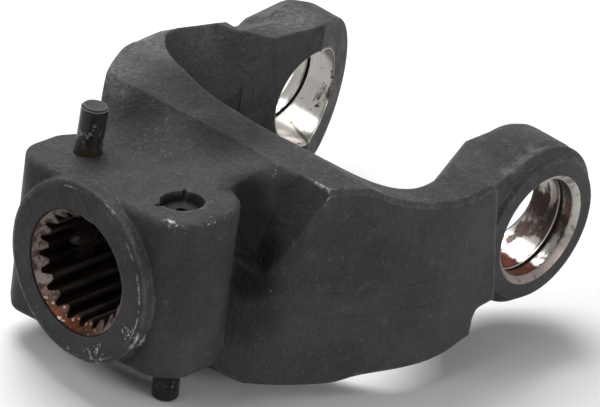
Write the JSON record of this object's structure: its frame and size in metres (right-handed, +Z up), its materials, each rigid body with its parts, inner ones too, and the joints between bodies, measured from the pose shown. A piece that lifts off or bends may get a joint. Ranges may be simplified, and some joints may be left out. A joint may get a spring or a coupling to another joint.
{
  "type": "driveshaft end yoke",
  "caption": "Forged driveshaft yoke: a splined hub with two sprung push pins that lock it on a shaft, and two long arms with bored ears for a cross bearing.",
  "frame": {"origin": "where the hub axis crosses the axis of the two bearing bores", "axes": "+X along the hub axis to its open splined end, +Y along the bearing bores, +Z up, on the side where the -Y lobe's push pin stands out"},
  "size_m": [0.21, 0.1588, 0.101],
  "materials": {
    "forging": "satin black paint over a forged skin, bare machined bores",
    "pins": "dark oiled steel",
    "springs": "bare spring wire",
    "washers": "dark painted steel"
  },
  "bodies": {
    "yoke": {"yoke_forging": "forging", "retaining_washer_upper": "washers", "retaining_washer_lower": "washers", "return_spring_upper": "springs", "return_spring_lower": "springs"},
    "upper_pin": {"push_pin_upper": "pins"},
    "lower_pin": {"push_pin_lower": "pins"}
  },
  "joints": [
    {"name": "press_upper_pin", "type": "slide", "parent": "yoke", "child": "upper_pin", "axis": [0.0523, 0, -0.9986], "range_m": [0, 0.009], "stiffness_N_per_m": 2500, "springref_m": -0.016, "deforming": ["return_spring_upper"]},
    {"name": "press_lower_pin", "type": "slide", "parent": "yoke", "child": "lower_pin", "axis": [0.0523, 0, 0.9986], "range_m": [0, 0.009], "stiffness_N_per_m": 2500, "springref_m": -0.016, "deforming": ["return_spring_lower"]}
  ]
}
